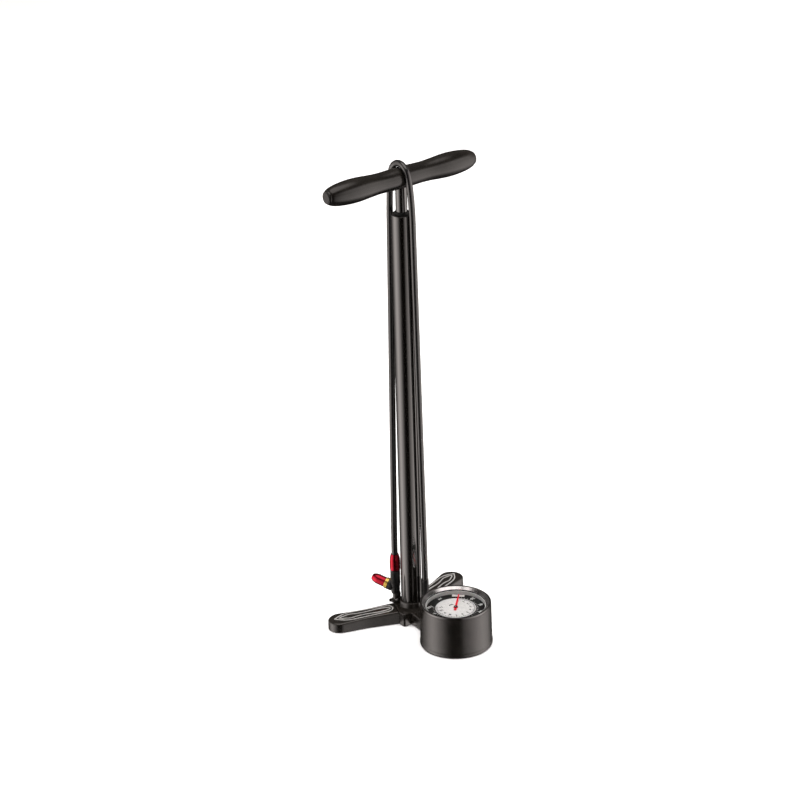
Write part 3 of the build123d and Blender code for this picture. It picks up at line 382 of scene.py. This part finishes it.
GAUGE = Vector((0, -97.7, 0)) * MM
DIAL_Z, CENTRE_Z = 50.4 * MM, 50.9 * MM
INK = 0.12 * MM
SCALE_START, SCALE_SWEEP = 45.0, -270.0     # clockwise seen from above
RING_TICK_R = (28.4, 30.4, 31.2)            # near end, far end, far end of a long one
RING_NUMBER_R, RING_NUMBER_SIZE = 35.0, 6.2
ZERO_TURN, ZERO_R, ZERO_WIDTH = 46, (32.9, 38.5), 17.0
CENTRE_TICK_R = (24.6, 23.2, 26.6)          # near end, near end of a long one, far end
CENTRE_NUMBER_R, CENTRE_NUMBER_SIZE = 20.0, 5.4
UNIT_OUTER_R, UNIT_INNER_R, UNIT_SIZE = 34.0, 10.5, 5.0


def scale_turn(part):
    """Direction from the dial's centre at a part of the scale, 0 to 1."""
    return radians(SCALE_START + SCALE_SWEEP * part)


def bar_corners(turn, near, far, width):
    """Corners of a bar that lies along a direction from the dial's centre."""
    along = Vector((cos(turn), sin(turn), 0))
    across = Vector((-sin(turn), cos(turn), 0)) * (width / 2)
    return [along * near - across, along * far - across, along * far + across,
            along * near + across]


def print_bars(name, bars, base, material, slot):
    verts, faces = [], []
    for bar in bars:
        corners = [GAUGE + c * MM for c in bar_corners(*bar)]
        first = len(verts)
        verts += [c + Vector((0, 0, base)) for c in corners]
        verts += [c + Vector((0, 0, base + INK)) for c in corners]
        faces += [tuple(first + i for i in face) for face in (
            (3, 2, 1, 0), (4, 5, 6, 7), (0, 1, 5, 4), (1, 2, 6, 5), (2, 3, 7, 6), (3, 0, 4, 7))]
    add_mesh(name, verts, faces, material, slot, "root")


def print_text(name, text, place, size, base, material):
    """Words on the dial, upright for someone who stands at the handle."""
    data = bpy.data.curves.new(name, "FONT")
    data.body = text
    data.align_x, data.align_y = "CENTER", "CENTER"
    data.size = size * MM
    data.extrude = INK / 2
    data.offset = 0.025 * size * MM
    data.resolution_u = 4
    words = bpy.data.objects.new(name, data)
    bpy.context.collection.objects.link(words)
    words.location = GAUGE + place * MM + Vector((0, 0, base + INK / 2))
    words.rotation_euler = (0, 0, pi)
    paint(words, material)
    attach(words, "root")


def print_scale(name, values, top, radius, size, base, material):
    for value in values:
        turn = scale_turn(value / top)
        print_text(f"{name}_{value}", str(value), Vector((cos(turn), sin(turn), 0)) * radius,
                   size, base, material)


print_bars("ring_ticks", [(scale_turn(i / 32), RING_TICK_R[0], RING_TICK_R[1 if i % 4 else 2], 0.5)
                          for i in range(1, 33)], DIAL_Z, DIAL_WHITE_AND_RING_PAINTED_REFLECTION, "dial_white")
print_bars("zero_mark", [(radians(ZERO_TURN), *ZERO_R, ZERO_WIDTH)], DIAL_Z, DIAL_WHITE_AND_RING_PAINTED_REFLECTION,
           "dial_white")
print_scale("ring_number", range(20, 161, 20), 160, RING_NUMBER_R, RING_NUMBER_SIZE, DIAL_Z,
            DIAL_WHITE_AND_RING_PAINTED_REFLECTION)
print_bars("centre_ticks", [(scale_turn(i / 55), CENTRE_TICK_R[0 if i % 5 else 1],
                             CENTRE_TICK_R[2], 0.7)
                            for i in range(56)], CENTRE_Z, DIAL_INK, "dial_black")
print_scale("centre_number", range(0, 12), 11, CENTRE_NUMBER_R, CENTRE_NUMBER_SIZE, CENTRE_Z,
            DIAL_INK)
print_text("unit_outer", "psi", Vector((0, UNIT_OUTER_R, 0)), UNIT_SIZE, DIAL_Z, DIAL_WHITE_AND_RING_PAINTED_REFLECTION)
print_text("unit_inner", "bar", Vector((0, UNIT_INNER_R, 0)), UNIT_SIZE, CENTRE_Z, DIAL_INK)

# ---------------------------------------------------------------- floor and light

FLOOR_HALF = 30.0
WORLD_STRENGTH = 2.3
WORLD_TINT = (1.0, 0.92, 0.88)
LAMP_HEIGHT, LAMP_SIDE, LAMP_POWER = 3.4, 4.0, 230


def make_floor():
    data = bpy.data.meshes.new("floor")
    data.from_pydata([(x * FLOOR_HALF, y * FLOOR_HALF, 0)
                      for x, y in ((-1, -1), (1, -1), (1, 1), (-1, 1))], [], [(0, 1, 2, 3)])
    floor = bpy.data.objects.new("floor", data)
    bpy.context.collection.objects.link(floor)
    s = Surface("floor_paper")
    s.colour(s.noise(3), [(0.3, shade(0.90)), (0.7, shade(0.93))])
    s.roughness(s.noise(9), 0.85, 0.95)
    paint(floor, s.material)
    floor.visible_glossy = False


def make_world():
    world = bpy.data.worlds.new("studio")
    bpy.context.scene.world = world
    world.use_nodes = True
    nodes, links = world.node_tree.nodes, world.node_tree.links
    background = nodes["Background"]
    direction = nodes.new("ShaderNodeTexCoord").outputs["Generated"]

    def dot(vector):
        node = nodes.new("ShaderNodeVectorMath")
        node.operation = "DOT_PRODUCT"
        links.new(direction, node.inputs[0])
        node.inputs[1].default_value = vector
        return node.outputs["Value"]

    def calc(operation, a, b):
        node = nodes.new("ShaderNodeMath")
        node.operation = operation
        for socket, value in zip(node.inputs, (a, b)):
            if hasattr(value, "links"):
                links.new(value, socket)
            else:
                socket.default_value = value
        return node.outputs[0]

    def curve(factor, stops):
        node = nodes.new("ShaderNodeValToRGB")
        while len(node.color_ramp.elements) < len(stops):
            node.color_ramp.elements.new(0.5)
        for element, (position, value) in zip(node.color_ramp.elements, stops):
            element.position = position
            element.color = (*(value * tint for tint in WORLD_TINT), 1)
        links.new(factor, node.inputs["Fac"])
        return node.outputs["Color"]

    front = Vector((-sin(CAMERA_TURN), -cos(CAMERA_TURN), 0))
    turn = calc("ARCTAN2", dot(screen_right), dot(front))
    turn = calc("ADD", calc("DIVIDE", turn, 2 * pi), 0.5)       # 0.5 is the front
    rise = calc("ADD", calc("MULTIPLY", dot(Vector((0, 0, 1))), 0.5), 0.5)

    def ring(stops):
        """Brightness by the turn from the front, in degrees."""
        return curve(turn, [(0.5 + degrees / 360, value) for degrees, value in stops])

    def blend(low, high, start, end):
        """One ring below the first rise, the other above the second, in degrees."""
        factor = curve(rise, [(0.5 + 0.5 * sin(radians(start)), 0.0),
                              (0.5 + 0.5 * sin(radians(end)), 1.0)])
        mix = nodes.new("ShaderNodeMix")
        mix.data_type = "RGBA"
        links.new(factor, mix.inputs["Factor"])
        links.new(low, mix.inputs[6])
        links.new(high, mix.inputs[7])
        return mix.outputs[2]

    below = ring([(-180, 0.02), (-142, 0.03), (-117, 0.27), (-98, 0.72), (-84, 1.0),
                  (-71, 0.92), (-59, 0.66), (-47, 0.44), (-36, 0.18), (-25, 0.03), (-15, 0.0),
                  (13, 0.0), (29, 0.26), (50, 0.50), (74, 0.84), (92, 0.90), (112, 0.58),
                  (140, 0.08), (180, 0.02)])
    upper = ring([(-180, 0.04), (-140, 0.04), (-112, 0.35), (-84, 0.70), (-60, 0.45),
                  (-36, 0.12), (-15, 0.0), (18, 0.0), (50, 0.25), (72, 0.65), (95, 0.65),
                  (118, 0.20), (145, 0.05), (180, 0.04)])
    crown = ring([(-180, 0.08), (-125, 0.02), (-90, 0.0), (90, 0.0), (125, 0.02), (180, 0.08)])
    zenith = ring([(-180, 0.75), (180, 0.75)])
    nadir = ring([(-180, 0.02), (180, 0.02)])
    sky = blend(blend(blend(nadir, below, -60, -38), upper, 0, 12), crown, 30, 40)
    links.new(blend(sky, zenith, 55, 67), background.inputs["Color"])
    background.inputs["Strength"].default_value = WORLD_STRENGTH


def make_overhead_light():
    data = bpy.data.lights.new("overhead", "AREA")
    data.shape = "RECTANGLE"
    data.size, data.size_y = LAMP_SIDE, LAMP_SIDE
    data.energy = LAMP_POWER
    lamp = bpy.data.objects.new("overhead", data)
    bpy.context.collection.objects.link(lamp)
    lamp.location = (0.0, 0.0, LAMP_HEIGHT)
    lamp.visible_glossy = False


make_floor()
make_world()
make_overhead_light()
bpy.context.scene.view_settings.view_transform = "Standard"
